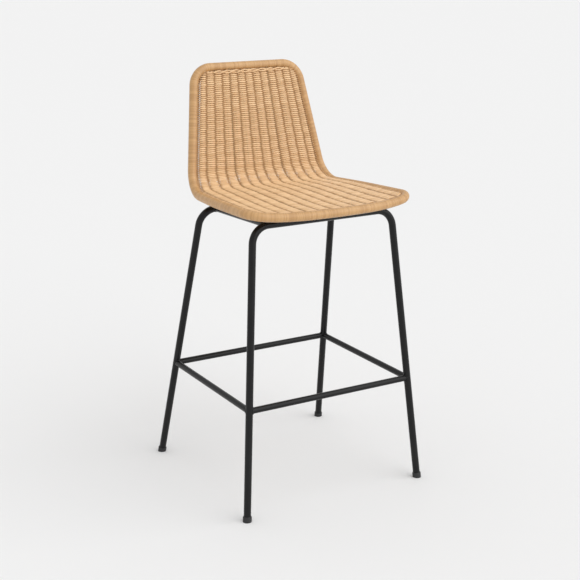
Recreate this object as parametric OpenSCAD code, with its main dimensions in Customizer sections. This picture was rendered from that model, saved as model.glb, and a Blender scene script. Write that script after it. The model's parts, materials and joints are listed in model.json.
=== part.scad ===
// Bar-height stool: a woven cane shell, bound round a steel rim tube,
// bolted to a four-legged frame of bent round tube with a footrest.
// Millimetres, +Z up, the sitter faces -Y. The origin is on the floor
// under the middle of the stool.

/* [Leg frames] */
// Height of the front crossbar's axis above the floor
bar_z = 710; // [600:1:820]
// Distance between the left and right feet, centre to centre
foot_span_x = 505; // [420:1:560]
// Distance between the front and rear feet, centre to centre
foot_span_y = 492; // [420:1:560]
// Width of a leg frame at the crossbar, measured at the sharp corners
top_span_x = 390; // [360:1:420]
// Place of the front crossbar behind the front feet
front_rake = 65; // [30:1:100]
// Place of the rear crossbar in front of the rear feet
rear_rake = 158; // [120:1:190]
// Outer diameter of the leg tube
tube_d = 18; // [14:0.5:24]
// Wall of the leg tube
tube_wall = 1.5; // [1:0.1:2.5]
// Radius of the bend between leg and crossbar, on the tube's axis
bend_r = 45; // [35:1:60]

/* [Footrest] */
// Height of the four footrest bars above the floor
rest_z = 272; // [200:1:400]
// Outer diameter of a footrest bar
rest_d = 15.5; // [12:0.5:17]
// Wall of a footrest bar
rest_wall = 1.2; // [0.8:0.1:2]

/* [Feet] */
// Outer diameter of a foot cap
foot_d = 22; // [20:0.5:30]
// Height of a foot cap's sleeve along the leg
foot_h = 13; // [8:1:25]
// Plastic between the tube's end and the floor
foot_base = 5; // [3:0.5:10]
// Length of the plug inside the leg tube
spigot_h = 22; // [14:1:40]

/* [Seat rails and fixings] */
// Distance from the middle of the stool to a seat rail's axis
rail_x = 155; // [120:1:165]
// Outer diameter of a seat rail
rail_d = 15.5; // [12:0.5:17]
// Wall of a seat rail
rail_wall = 1.2; // [0.8:0.1:2]
// Place of the front bolt behind the front crossbar
bolt_front = 55; // [35:1:80]
// Place of the rear bolt in front of the rear crossbar
bolt_rear = 45; // [35:1:80]
// Nominal diameter of a seat bolt
bolt_d = 6; // [5:1:8]
// Width of a shell strap
strap_w = 20; // [16:1:30]
// Thickness of a shell strap
strap_t = 4; // [3:0.5:6]

/* [Shell outline] */
// Height of the shell's middle surface above the crossbars' axes
seat_gap = 36; // [34:0.5:50]
// Distance from the front crossbar forward to the seat's front corners
seat_overhang = 48; // [30:1:70]
// Length from those corners back to where seat line and back line meet
seat_len = 367; // [330:1:400]
// Length of the back line from the seat line to the top rail
back_len = 312; // [220:1:420]
// Recline of the back from the vertical
back_tilt = 12.3; // [5:0.1:20]
// Radius of the bend between seat and back
shell_bend_r = 70; // [50:1:90]
// Half width at the top rail, measured at the sharp corner
top_half = 150; // [120:1:180]
// Half width at the front rail, measured at the sharp corner
front_half = 226.5; // [205:0.5:250]
// Taper of each side of the back
back_taper = 8.5; // [5:0.1:10]
// Taper of each side of the seat
seat_taper = 2.6; // [0:0.1:4]
// Radius of the top corners, on the rim's axis
top_corner_r = 52; // [40:1:70]
// Radius of the front corners, on the rim's axis
front_corner_r = 44; // [36:1:75]
// How far the front rail bows forward at its middle
front_bow = 17; // [5:1:25]
// How far the middle of the seat's front lies below its sides
dish = 13; // [0:1:16]

/* [Rim and weave] */
// Outer diameter of the bound rim
rim_d = 22; // [20:0.5:28]
// Height of the weave's middle over the rim's axis
weave_lift = 8; // [0:0.5:9]
// Thickness of the cane binding
binding_t = 3; // [2:0.1:4]
// Wall of the steel rim tube
core_wall = 1.5; // [1:0.1:2.5]
// Diameter of a cane stake
stake_d = 3; // [2:0.1:3.5]
// Diameter of a steel stay
stay_d = 4; // [3:0.1:4.5]
// Thickness of the flattened weaver
weaver_t = 2.4; // [1.8:0.1:3]
// Diameter of the braided border
braid_d = 5; // [4:0.5:6]

/* [Hidden] */
// Weave bands across the shell, each over a stake of its own
STAKES = 13;
FOOT_NODES = ["foot_front_left", "foot_front_right", "foot_rear_left", "foot_rear_right"];
BINDING_NODES = ["rim_binding_top", "rim_binding_back_right", "rim_binding_bend_right",
    "rim_binding_seat_right", "rim_binding_front", "rim_binding_seat_left",
    "rim_binding_bend_left", "rim_binding_back_left"];
STAKE_NODES = [for (k = [1 : STAKES]) str("cane_stake_", k < 10 ? "0" : "", k)];
$fn = 48;
tiny = 0.01;
far = 2000;

// ---- leg frame places ----
front_foot_y = -foot_span_y / 2;
rear_foot_y = foot_span_y / 2;
front_bar_y = front_foot_y + front_rake;
rear_bar_y = rear_foot_y - rear_rake;
bar_gap = rear_bar_y - front_bar_y;
seat_slope = 2.1;
rear_bar_z = bar_z - bar_gap * tan(seat_slope);
tube_r = tube_d / 2;
front_height = norm([bar_z, front_rake]);
rear_height = norm([rear_bar_z, rear_rake]);
front_lean = atan(front_rake / bar_z);
rear_lean = atan(rear_rake / rear_bar_z);
foot_half = foot_span_x / 2;
top_half_x = top_span_x / 2;

function splay(height) = atan((foot_half - top_half_x) / height);

// ---- shell profile: s runs from the front corners back and up the back ----
turn = 90 + seat_slope - back_tilt;
bend_tangent = shell_bend_r * tan(turn / 2);
s_bend = seat_len - bend_tangent;
s_back = s_bend + shell_bend_r * turn * PI / 180;
s_top = s_back + back_len - bend_tangent;
seat_front_y = front_bar_y - seat_overhang;
seat_front_z = bar_z + seat_gap + seat_overhang * tan(seat_slope);
start = [seat_front_y, seat_front_z];
seat_dir = [cos(seat_slope), -sin(seat_slope)];
back_dir = [sin(back_tilt), cos(back_tilt)];
bend_start = start + s_bend * seat_dir;
bend_centre = bend_start + shell_bend_r * [sin(seat_slope), cos(seat_slope)];

// Heading of the profile at s, in degrees above the horizontal
function heading(s) = s < s_bend ? -seat_slope
    : s < s_back ? -seat_slope + (s - s_bend) / shell_bend_r * 180 / PI
    : 90 - back_tilt;
function bend_point(s) = bend_centre + shell_bend_r * [sin(heading(s)), -cos(heading(s))];
function profile(s) = s < s_bend ? start + s * seat_dir
    : s < s_back ? bend_point(s)
    : bend_point(s_back - tiny) + (s - s_back) * back_dir;
function up(s) = [0, -sin(heading(s)), cos(heading(s))];

// Half width of the rim's axis at s: the back's taper blended into the seat's
blend = 5;
function back_line(s) = top_half + (s_top - s) * tan(back_taper);
function seat_line(s) = front_half - s * tan(seat_taper);
function half_width(s) = let (a = back_line(s), b = seat_line(s))
    (a + b - sqrt((a - b) * (a - b) + blend * blend)) / 2;

// Depth of the dish: deepest at the front, gone where the bend starts
function dish_fade(s) = let (q = min(1, max(0, s / s_bend))) (1 - q) * (1 - q) * (1 + 2 * q);
function dish_at(x, s) = let (f = min(1, abs(x) / half_width(s)))
    dish * dish_fade(s) * (1 - pow(f, 4));

// Point of the shell: across, along the profile, and out of the surface
function shell_at(x, s, lift = 0) = let (p = profile(s))
    [x, p[0], p[1]] + (lift - dish_at(x, s)) * up(s);

// ---- rim outline: right half from the top's middle to the front's middle ----
top_run = top_corner_r * tan((90 - back_taper) / 2);
top_centre = [top_half - top_run, s_top - top_corner_r];
front_chord = front_half - front_corner_r;
front_arc_r = front_chord * front_chord / (2 * front_bow) + front_bow / 2;
front_arc_centre = [0, front_arc_r - front_bow];
side_normal = [cos(seat_taper), sin(seat_taper)];
side_along = [-sin(seat_taper), cos(seat_taper)];
side_reach = front_half * cos(seat_taper) - front_corner_r
    - front_arc_centre * side_normal;
front_centre = front_arc_centre + side_reach * side_normal
    - sqrt(pow(front_arc_r - front_corner_r, 2) - side_reach * side_reach) * side_along;
front_ray = front_centre - front_arc_centre;
front_angle = atan2(front_ray[1], front_ray[0]);

function on_arc(c, r, a) = c + r * [cos(a), sin(a)];
function lerp(a, b, t) = a + (b - a) * t;

CORNER_STEPS = 8;
s_side_top = top_centre[1] + top_corner_r * sin(back_taper);
s_side_front = front_centre[1] + front_corner_r * sin(seat_taper);
side_stations = concat(
    [for (i = [1 : 3]) lerp(s_side_top, s_back, i / 3)],
    [for (i = [1 : 8]) lerp(s_back, s_bend, i / 8)],
    [for (i = [1 : 7]) lerp(s_bend, s_side_front, i / 7)]);
half_rim = concat(
    [for (i = [0 : 2]) [top_centre[0] * i / 2, s_top]],
    [for (i = [1 : CORNER_STEPS])
        on_arc(top_centre, top_corner_r, lerp(90, back_taper, i / CORNER_STEPS))],
    [for (s = side_stations) [half_width(s), s]],
    [for (i = [1 : CORNER_STEPS])
        on_arc(front_centre, front_corner_r, lerp(seat_taper, front_angle, i / CORNER_STEPS))],
    [for (i = [1 : 5]) on_arc(front_arc_centre, front_arc_r, lerp(front_angle, -90, i / 5))]);
HALF = len(half_rim) - 1;
RING = 2 * HALF;
I_TOP = 2 + CORNER_STEPS;
I_BACK = I_TOP + 3;
I_BEND = I_BACK + 8;
I_SEAT = I_BEND + 7;

function rim_2d(i) = let (j = (i + RING) % RING)
    j <= HALF ? half_rim[j] : [-half_rim[RING - j][0], half_rim[RING - j][1]];
function rim_point(i) = let (p = rim_2d(i)) shell_at(p[0], p[1]);
function unit(v) = v / norm(v);

// A sweep station: centre, first cross direction, second cross direction
function station(c, along, lift_dir) = let (t = unit(along), e2 = unit(cross(t, lift_dir)))
    [c, cross(e2, t), e2];
function rim_station(i) = station(rim_point(i), rim_point(i + 1) - rim_point(i - 1),
    up(rim_2d(i)[1]));
function ring_points(st, r, sides) = [for (k = [0 : sides - 1])
    st[0] + r * cos(360 * k / sides) * st[1] + r * sin(360 * k / sides) * st[2]];
function wall_faces(base, rows, sides, flip) = [for (i = [0 : rows - 2], k = [0 : sides - 1])
    let (a = base + i * sides + k, b = base + i * sides + (k + 1) % sides)
    each flip ? [[a, b, a + sides], [b, b + sides, a + sides]]
              : [[a, a + sides, b], [b, a + sides, b + sides]]];

// Solid rod through the stations
module rod(stations, r, sides) {
    rows = len(stations);
    last = (rows - 1) * sides;
    polyhedron(points = [for (st = stations) each ring_points(st, r, sides)],
        faces = concat(wall_faces(0, rows, sides, false),
            [for (k = [1 : sides - 2]) [0, k, k + 1]],
            [for (k = [1 : sides - 2]) [last, last + k + 1, last + k]]));
}

// Open-ended tube through the stations
module pipe(stations, r_out, r_in, sides) {
    rows = len(stations);
    inner = rows * sides;
    last = (rows - 1) * sides;
    polyhedron(points = concat([for (st = stations) each ring_points(st, r_out, sides)],
            [for (st = stations) each ring_points(st, r_in, sides)]),
        faces = concat(wall_faces(0, rows, sides, false), wall_faces(inner, rows, sides, true),
            [for (k = [0 : sides - 1]) let (n = (k + 1) % sides)
                each [[k, n, inner + k], [n, inner + n, inner + k]]],
            [for (k = [0 : sides - 1]) let (a = last + k, b = last + (k + 1) % sides)
                each [[a, inner + a, b], [b, inner + a, inner + b]]]));
}

// ---- weave: columns run from the front edge to the top edge ----
rim_r = rim_d / 2;
core_r = rim_r - binding_t;
panel_t = stake_d + 2 * weaver_t;
edge_in = 0.8 * rim_r;
RIM_SIDES = 12;

function slope_at(s) = (half_width(s + 1) - half_width(s - 1)) / 2;
function inner_half(s) = half_width(s) - edge_in * norm([1, slope_at(s)]);
// Where the line x = a - b*s meets a circle: the upper or the lower root
function meet(a, b, c, r, sign) = let (
        q = 1 + b * b, h = b * (a - c[0]) + c[1],
        w = (a - c[0]) * (a - c[0]) + c[1] * c[1] - r * r)
    (h + sign * sqrt(max(0, h * h - q * w))) / q;
function column_top(u) = let (a = u * (top_half + s_top * tan(back_taper) - edge_in / cos(back_taper)),
        b = u * tan(back_taper), x = a - b * (s_top - edge_in))
    x < top_centre[0] ? s_top - edge_in : meet(a, b, top_centre, top_corner_r - edge_in, 1);
function column_front(u) = let (a = u * (front_half - edge_in / cos(seat_taper)),
        b = u * tan(seat_taper),
        s_arc = meet(a, b, front_arc_centre, front_arc_r - edge_in, -1))
    a - b * s_arc < front_centre[0] + (front_corner_r - edge_in) * cos(front_angle) ? s_arc
    : meet(a, b, front_centre, front_corner_r - edge_in, -1);
function column_s(u, t) = let (f = column_front(abs(u)), e = column_top(abs(u)))
    t <= 1 ? lerp(f, s_bend, t) : t <= 2 ? lerp(s_bend, s_back, t - 1) : lerp(s_back, e, t - 2);
function column_point(u, t, lift = 0) = let (s = column_s(u, t))
    shell_at(u * inner_half(s), s, lift);

COLUMN_STEPS = concat([for (i = [0 : 6]) i / 6], [for (i = [1 : 8]) 1 + i / 8], [2.5, 3]);
CORNER_COLUMNS = [0.8, 0.92, 0.97, 0.99, 1];
COLUMNS = concat([for (i = [len(CORNER_COLUMNS) - 1 : -1 : 0]) -CORNER_COLUMNS[i]],
    [for (k = [1 : STAKES]) if (abs(stake_u(k)) < 0.75) stake_u(k)],
    CORNER_COLUMNS);

// A column's stations, with both ends moved outwards by a given amount
function column_stations(u, extra) = let (n = len(COLUMN_STEPS) - 1,
        p = [for (t = COLUMN_STEPS) column_point(u, t, weave_lift)],
        head = unit(p[0] - p[1]), tail = unit(p[n] - p[n - 1]))
    [for (i = [0 : n])
        station(p[i] + (i == 0 ? extra * head : i == n ? extra * tail : [0, 0, 0]),
            p[min(n, i + 1)] - p[max(0, i - 1)], up(column_s(u, COLUMN_STEPS[i])))];

STAKE_GAP = 2;
ROD_SIDES = 6;
stay_u = 5 / STAKES;
function stake_u(k) = (2 * k - STAKES - 1) / STAKES;

module slab() {
    cols = len(COLUMNS);
    rows = len(COLUMN_STEPS);
    half = cols * rows;
    edge = concat([for (i = [0 : cols - 1]) i * rows],
        [for (j = [1 : rows - 1]) (cols - 1) * rows + j],
        [for (i = [cols - 2 : -1 : 0]) i * rows + rows - 1],
        [for (j = [rows - 2 : -1 : 1]) j]);
    polyhedron(
        points = [for (half_t = [panel_t / 2, -panel_t / 2], u = COLUMNS, t = COLUMN_STEPS)
            column_point(u, t, weave_lift + half_t)],
        faces = concat(
            [for (i = [0 : cols - 2], j = [0 : rows - 2]) let (a = i * rows + j, b = a + rows)
                each [[a, a + 1, b], [b, a + 1, b + 1]]],
            [for (i = [0 : cols - 2], j = [0 : rows - 2])
                let (a = half + i * rows + j, b = a + rows)
                each [[a, b, a + 1], [b, b + 1, a + 1]]],
            [for (i = [0 : len(edge) - 1]) let (a = edge[i], b = edge[(i + 1) % len(edge)])
                each [[a, b, half + a], [b, half + b, half + a]]]));
}

// Cuts between meshes are worked out as a mesh, at their own size
module as_mesh() { resize([0, 0, 0]) children(); }

// ---- placing helpers for the frame ----
module front_plane() { translate([0, front_foot_y, 0]) rotate([-front_lean, 0, 0]) children(); }
module rear_plane() { translate([0, rear_foot_y, 0]) rotate([rear_lean, 0, 0]) children(); }
module leg_axis(height, side) {
    translate([side * foot_half, 0, 0]) rotate([0, -side * splay(height), 0]) children();
}
// Local frame of the seat rails: origin on the front crossbar's axis, +Y to the rear
module rail_plane() { translate([0, front_bar_y, bar_z]) rotate([-seat_slope, 0, 0]) children(); }

module ring_2d(r, wall) {
    difference() {
        circle(r);
        if (wall > 0) circle(r - wall);
    }
}

// Bending draws the tube's wall a little thinner, outside and inside
bend_draw = 0.02;

// Right half of an inverted U in the XZ plane, built about the bend's centre so
// that bend, leg and crossbar meet face to face; wall 0 gives the solid bar
module half_u(height, wall) {
    sp = splay(height);
    run = bend_r * tan((90 - sp) / 2);
    leg = norm([height, foot_half - top_half_x]);
    bend_x = top_half_x - run;
    translate([bend_x, 0, height - bend_r]) rotate([90, 0, 0]) {
        difference() {
            rotate_extrude(angle = 90) translate([bend_r, 0])
                ring_2d(tube_r - bend_draw, max(0, wall - 2 * bend_draw));
            rotate([0, 0, sp]) translate([0, -far, -far / 2]) cube([far, far, far]);
        }
        rotate([0, 0, sp]) translate([bend_r, 0, 0]) rotate([90, 0, 0])
            linear_extrude(leg - run - foot_base) ring_2d(tube_r, wall);
        translate([0, bend_r, 0]) rotate([0, -90, 0]) rotate([0, 0, 90])
            linear_extrude(bend_x) ring_2d(tube_r, wall);
    }
}
module bent_u(height, wall) {
    half_u(height, wall);
    mirror([1, 0, 0]) half_u(height, wall);
}

module leg_solid(height, side) { leg_axis(height, side) cylinder(h = height, r = tube_r); }
module front_legs() { front_plane() for (s = [-1, 1]) leg_solid(front_height, s); }
module rear_legs() { rear_plane() for (s = [-1, 1]) leg_solid(rear_height, s); }

// Clearance where two footrest bars are coped past each other at a leg
cope_gap = 0.1;

// Centre of a leg at the footrest's height
rest_front_y = front_foot_y + front_rake * rest_z / bar_z;
rest_rear_y = rear_foot_y - rear_rake * rest_z / rear_bar_z;
rest_front_x = foot_half - (foot_half - top_half_x) * rest_z / bar_z;
rest_rear_x = foot_half - (foot_half - top_half_x) * rest_z / rear_bar_z;

module bar_between(a, b, r, wall) {
    v = b - a;
    translate(a) rotate([0, acos(v[2] / norm(v)), atan2(v[1], v[0])])
        linear_extrude(norm(v)) ring_2d(r, wall);
}
module cross_bar_rest(y, x, wall, grow = 0) {
    bar_between([-x, y, rest_z], [x, y, rest_z], rest_d / 2 + grow, wall);
}

// ---- frame sub-parts ----
module front_leg_frame() { color("#2b2b2c") front_plane() bent_u(front_height, tube_wall); }
module rear_leg_frame() { color("#303032") rear_plane() bent_u(rear_height, tube_wall); }

module footrest_bar_front() {
    color("#38383a") difference() {
        cross_bar_rest(rest_front_y, rest_front_x, rest_wall);
        front_legs();
    }
}
module footrest_bar_rear() {
    color("#38383a") difference() {
        cross_bar_rest(rest_rear_y, rest_rear_x, rest_wall);
        rear_legs();
    }
}
module footrest_bar_side(side) {
    color("#343436") difference() {
        bar_between([side * rest_front_x, rest_front_y, rest_z],
            [side * rest_rear_x, rest_rear_y, rest_z], rest_d / 2, rest_wall);
        front_legs();
        rear_legs();
        cross_bar_rest(rest_front_y, rest_front_x, 0, cope_gap);
        cross_bar_rest(rest_rear_y, rest_rear_x, 0, cope_gap);
    }
}

// Cap with a flat underside on the floor, a sleeve outside and a plug inside the tube
module foot_cap(side) {
    height = side[1] < 0 ? front_height : rear_height;
    chamfer = 2;
    difference() {
        union() {
            intersection() {
                foot_place(side) union() {
                    translate([0, 0, -tube_r]) cylinder(h = tube_r + foot_h - chamfer, r = foot_d / 2);
                    translate([0, 0, foot_h - chamfer])
                        cylinder(h = chamfer, r1 = foot_d / 2, r2 = (foot_d + tube_d) / 4);
                }
                translate([-far / 2, -far / 2, 0]) cube([far, far, far]);
            }
            foot_place(side) translate([0, 0, foot_base])
                cylinder(h = spigot_h, r = tube_r - tube_wall);
        }
        foot_place(side) translate([0, 0, foot_base]) linear_extrude(spigot_h + tiny)
            ring_2d(tube_r, tube_wall);
    }
}
module foot_place(side) {
    if (side[1] < 0) front_plane() leg_axis(front_height, side[0]) children();
    else rear_plane() leg_axis(rear_height, side[0]) children();
}

// ---- rails and fixings ----
rail_r = rail_d / 2;
rail_len = bar_gap / cos(seat_slope);
bolt_places = [bolt_front, rail_len - bolt_rear];
bolt_clear = 0.3;
boss_r = bolt_d / 2 + 4;
bolt_x = rail_x - rail_r - boss_r - 1;
tab_t = 4;
washer_t = 1.5;
head_h = 0.55 * bolt_d;
head_r = 0.9 * bolt_d;
key_depth = 0.35 * bolt_d;
// Distance along the profile at a bolt, and the strap's level above the rail axis
function bolt_s(y) = seat_overhang / cos(seat_slope) + y;
strap_clear = 0.3;
function strap_top(y) = seat_gap * cos(seat_slope)
    - max(dish_at(0, bolt_s(y - strap_w / 2)), dish_at(0, bolt_s(y))) - panel_t / 2 - strap_clear;

module at_bolts(z) { for (x = [-bolt_x, bolt_x], y = bolt_places) translate([x, y, z]) children(); }
module rail_bar(side, wall) {
    translate([side * rail_x, 0, 0]) rotate([-90, 0, 0]) linear_extrude(rail_len)
        ring_2d(rail_r, wall);
}
module seat_rail(side) {
    color("#2e2e30") difference() {
        rail_plane() rail_bar(side, rail_wall);
        front_plane() bent_u(front_height, 0);
        rear_plane() bent_u(rear_height, 0);
    }
}

// Plates on the rails' inner sides, each with a hole for a bolt
module rail_tabs() {
    tab_in = bolt_x - boss_r - 2;
    tab_w = 2 * boss_r + 6;
    color("#333335") rail_plane() for (side = [-1, 1], y = bolt_places) difference() {
        translate([side > 0 ? tab_in : -rail_x, y - tab_w / 2, -tab_t / 2])
            cube([rail_x - tab_in, tab_w, tab_t]);
        translate([side * bolt_x, y, -tab_t]) cylinder(h = 2 * tab_t, r = bolt_d / 2 + bolt_clear);
        rail_bar(side, 0);
    }
}
module seat_washers() {
    color("silver") rail_plane() at_bolts(-tab_t / 2 - washer_t) linear_extrude(washer_t)
        ring_2d(boss_r, boss_r - bolt_d / 2 - bolt_clear);
}
module seat_bolts() {
    color("silver") rail_plane() for (x = [-bolt_x, bolt_x], y = bolt_places)
        translate([x, y, -tab_t / 2 - washer_t]) difference() {
            union() {
                cylinder(h = strap_top(y) - strap_t + tab_t / 2 + washer_t - 1, r = bolt_d / 2);
                translate([0, 0, -head_h]) cylinder(h = head_h, r = head_r);
            }
            translate([0, 0, -head_h - tiny]) cylinder(h = key_depth, r = bolt_d / 3, $fn = 6);
        }
}
module threaded_bosses() {
    color("gray") rail_plane() for (x = [-bolt_x, bolt_x], y = bolt_places)
        translate([x, y, tab_t / 2]) linear_extrude(strap_top(y) - strap_t - tab_t / 2)
            ring_2d(boss_r, boss_r - bolt_d / 2);
}

// Flat steel strap whose ends rise to the rim tube, meeting it below and inside its axis
module strap_blank(y, grow) {
    top = strap_top(y);
    reach = half_width(bolt_s(y)) - 0.6 * core_r;
    rise = seat_gap * cos(seat_slope) - 0.75 * core_r - top;
    knee = rail_x + 2;
    t = strap_t;
    translate([0, y + strap_w / 2 + grow, 0]) rotate([90, 0, 0])
        linear_extrude(strap_w + 2 * grow) polygon([
            [-reach, top + rise + grow], [-knee, top + grow], [knee, top + grow],
            [reach, top + rise + grow], [reach, top + rise - t - grow],
            [knee, top - t - grow], [-knee, top - t - grow], [-reach, top + rise - t - grow]]);
}
module strap(y) {
    color("#5a5a5e") as_mesh() difference() {
        rail_plane() strap_blank(y, 0);
        whole_core();
    }
}

// ---- shell sub-parts ----
function rim_stations(a, b) = [for (i = [a : b]) rim_station(i)];
module whole_core() {
    rod(rim_stations(-I_BEND, I_BEND), core_r, RIM_SIDES);
    rod(rim_stations(I_BEND, RING - I_BEND), core_r, RIM_SIDES);
}
module rim_tube_back() {
    color("#77777c") pipe(rim_stations(-I_BEND, I_BEND), core_r, core_r - core_wall, RIM_SIDES);
}
module rim_tube_seat() {
    color("#6c6c72")
        pipe(rim_stations(I_BEND, RING - I_BEND), core_r, core_r - core_wall, RIM_SIDES);
}

module stay_rod(side, r) { rod(column_stations(side * stay_u, edge_in), r, ROD_SIDES); }
module shell_stay(side) {
    color("#85858a") as_mesh() difference() {
        stay_rod(side, stay_d / 2);
        whole_core();
    }
}
module cane_stake(k) {
    color("#b98b52") rod(column_stations(stake_u(k), -STAKE_GAP), stake_d / 2, ROD_SIDES);
}

module woven_panel() {
    color("#dcb37c") as_mesh() difference() {
        slab();
        for (k = [1 : STAKES]) rod(column_stations(stake_u(k), rim_r), stake_d / 2, ROD_SIDES);
        for (side = [-1, 1]) stay_rod(side, stay_d / 2);
        rod(rim_stations(-I_BEND, I_BEND), rim_r, RIM_SIDES);
        rod(rim_stations(I_BEND, RING - I_BEND), rim_r, RIM_SIDES);
    }
}

// Border that hides the weave's end under the top rail
braid_s = s_top - rim_r - braid_d / 2;
braid_reach = top_centre[0] * 0.98;
module border_braid() {
    color("#c99a5f") rod([for (i = [0 : 8])
        let (x = lerp(braid_reach, -braid_reach, i / 8))
        station(shell_at(x, braid_s, weave_lift + (panel_t + braid_d) / 2), [-1, 0, 0], up(braid_s))],
        braid_d / 2, 8);
}

BINDING_SPANS = [[-I_TOP, I_TOP], [I_TOP, I_BACK], [I_BACK, I_BEND], [I_BEND, I_SEAT],
    [I_SEAT, RING - I_SEAT], [RING - I_SEAT, RING - I_BEND], [RING - I_BEND, RING - I_BACK],
    [RING - I_BACK, RING - I_TOP]];
module rim_binding(span, stays, straps) {
    color("#c8955a") as_mesh() difference() {
        pipe(rim_stations(span[0], span[1]), rim_r, core_r, RIM_SIDES);
        if (stays) for (side = [-1, 1]) stay_rod(side, stay_d / 2);
        if (straps) rail_plane() for (y = bolt_places) strap_blank(y, strap_clear);
    }
}

// ---- the assembly ----
front_leg_frame();
rear_leg_frame();
footrest_bar_front();
footrest_bar_rear();
footrest_bar_side(-1);  // footrest_bar_left
footrest_bar_side(1);  // footrest_bar_right
seat_rail(-1);  // seat_rail_left
seat_rail(1);  // seat_rail_right
color("#1c1c1d") foot_cap([-1, -1]);  // foot_front_left
color("#1c1c1d") foot_cap([1, -1]);  // foot_front_right
color("#1c1c1d") foot_cap([-1, 1]);  // foot_rear_left
color("#1c1c1d") foot_cap([1, 1]);  // foot_rear_right
rail_tabs();
seat_washers();
seat_bolts();
threaded_bosses();
strap(bolt_places[0]);  // shell_strap_front
strap(bolt_places[1]);  // shell_strap_rear
rim_tube_back();
rim_tube_seat();
shell_stay(-1);  // shell_stay_left
shell_stay(1);  // shell_stay_right
woven_panel();
border_braid();
rim_binding(BINDING_SPANS[0], true, false);  // rim_binding_top
rim_binding(BINDING_SPANS[1], false, false);  // rim_binding_back_right
rim_binding(BINDING_SPANS[2], false, false);  // rim_binding_bend_right
rim_binding(BINDING_SPANS[3], false, true);  // rim_binding_seat_right
rim_binding(BINDING_SPANS[4], true, false);  // rim_binding_front
rim_binding(BINDING_SPANS[5], false, true);  // rim_binding_seat_left
rim_binding(BINDING_SPANS[6], false, false);  // rim_binding_bend_left
rim_binding(BINDING_SPANS[7], false, false);  // rim_binding_back_left
cane_stake(1);  // cane_stake_01
cane_stake(2);  // cane_stake_02
cane_stake(3);  // cane_stake_03
cane_stake(4);  // cane_stake_04
cane_stake(5);  // cane_stake_05
cane_stake(6);  // cane_stake_06
cane_stake(7);  // cane_stake_07
cane_stake(8);  // cane_stake_08
cane_stake(9);  // cane_stake_09
cane_stake(10);  // cane_stake_10
cane_stake(11);  // cane_stake_11
cane_stake(12);  // cane_stake_12
cane_stake(13);  // cane_stake_13
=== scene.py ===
# %% [markdown]
# # A bar stool with a woven cane shell
# The stool has two bent tube legs joined by a footrest, and a shell woven from
# thin cane over a steel rim. The exact frame comes from CAD, so this script adds
# what CAD leaves plain: the weave, the stakes' cane, the wound rim, the twined
# border, the weld beads, the finishes, the floor and the light.

# %% Start from the CAD frame
import json
import math
import bpy
import bmesh
import numpy as np
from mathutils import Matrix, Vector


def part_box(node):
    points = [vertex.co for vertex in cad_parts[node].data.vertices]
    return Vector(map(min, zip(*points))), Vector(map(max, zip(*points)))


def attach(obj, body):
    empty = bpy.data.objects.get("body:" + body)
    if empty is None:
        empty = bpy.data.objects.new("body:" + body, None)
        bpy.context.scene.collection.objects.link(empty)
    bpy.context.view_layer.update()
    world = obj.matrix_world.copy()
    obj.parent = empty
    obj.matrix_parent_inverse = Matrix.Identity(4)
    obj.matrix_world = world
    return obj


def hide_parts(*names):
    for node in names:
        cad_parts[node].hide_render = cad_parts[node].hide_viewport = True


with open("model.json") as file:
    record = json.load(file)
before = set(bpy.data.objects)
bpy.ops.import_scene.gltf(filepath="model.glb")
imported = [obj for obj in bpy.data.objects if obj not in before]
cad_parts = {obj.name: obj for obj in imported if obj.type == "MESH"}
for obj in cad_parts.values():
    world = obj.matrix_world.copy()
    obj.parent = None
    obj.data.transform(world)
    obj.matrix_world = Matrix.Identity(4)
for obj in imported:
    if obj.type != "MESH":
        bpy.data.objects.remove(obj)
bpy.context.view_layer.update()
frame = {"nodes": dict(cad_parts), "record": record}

# %% [markdown]
# ## Sizes of the shell
# These are the same driving sizes as in the CAD source, here in metres. The
# shell is described by two numbers: x, across the stool, and s, the distance
# from the seat's front corners back along the seat and then up the back.

# %% Shell sizes
SEAT_SLOPE, BACK_TILT = math.radians(2.1), math.radians(12.3)
SEAT_LENGTH, BACK_LENGTH, BEND_RADIUS = 0.367, 0.312, 0.070
TOP_HALF, FRONT_HALF = 0.150, 0.2265
BACK_TAPER, SEAT_TAPER = math.radians(8.5), math.radians(2.6)
TOP_CORNER, FRONT_CORNER, FRONT_BOW = 0.052, 0.044, 0.017
DISH, WAIST_BLEND = 0.013, 0.005
RIM_RADIUS = 0.011
BAR_HEIGHT, SEAT_GAP, OVERHANG = 0.710, 0.036, 0.048
FOOT_X, FOOT_Y, LEG_TOP_X = 0.2525, 0.246, 0.195
FRONT_LEAN, REAR_LEAN = 0.065, 0.158
FRONT_BAR_Y = -FOOT_Y + FRONT_LEAN
REAR_BAR_Y = FOOT_Y - REAR_LEAN
WEAVE_LIFT = 0.008
EDGE_IN = 0.8 * RIM_RADIUS

TURN = math.pi / 2 + SEAT_SLOPE - BACK_TILT
S_BEND = SEAT_LENGTH - BEND_RADIUS * math.tan(TURN / 2)
S_BACK = S_BEND + BEND_RADIUS * TURN
S_TOP = S_BACK + BACK_LENGTH - BEND_RADIUS * math.tan(TURN / 2)
START = np.array([FRONT_BAR_Y - OVERHANG,
                  BAR_HEIGHT + SEAT_GAP + OVERHANG * math.tan(SEAT_SLOPE)])
print(f"profile: seat {S_BEND:.4f} m, bend to {S_BACK:.4f} m, top at {S_TOP:.4f} m")

# %% [markdown]
# ## The shell as a surface
# A seat that turns into a back is a line, an arc and a line. Writing it as a
# function of s lets every strand ask where it lies, and NumPy answers for a
# whole row at once.

# %% Shell functions
def heading(s):
    return np.where(s < S_BEND, -SEAT_SLOPE,
                    np.where(s < S_BACK, -SEAT_SLOPE + (s - S_BEND) / BEND_RADIUS,
                             math.pi / 2 - BACK_TILT))


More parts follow.
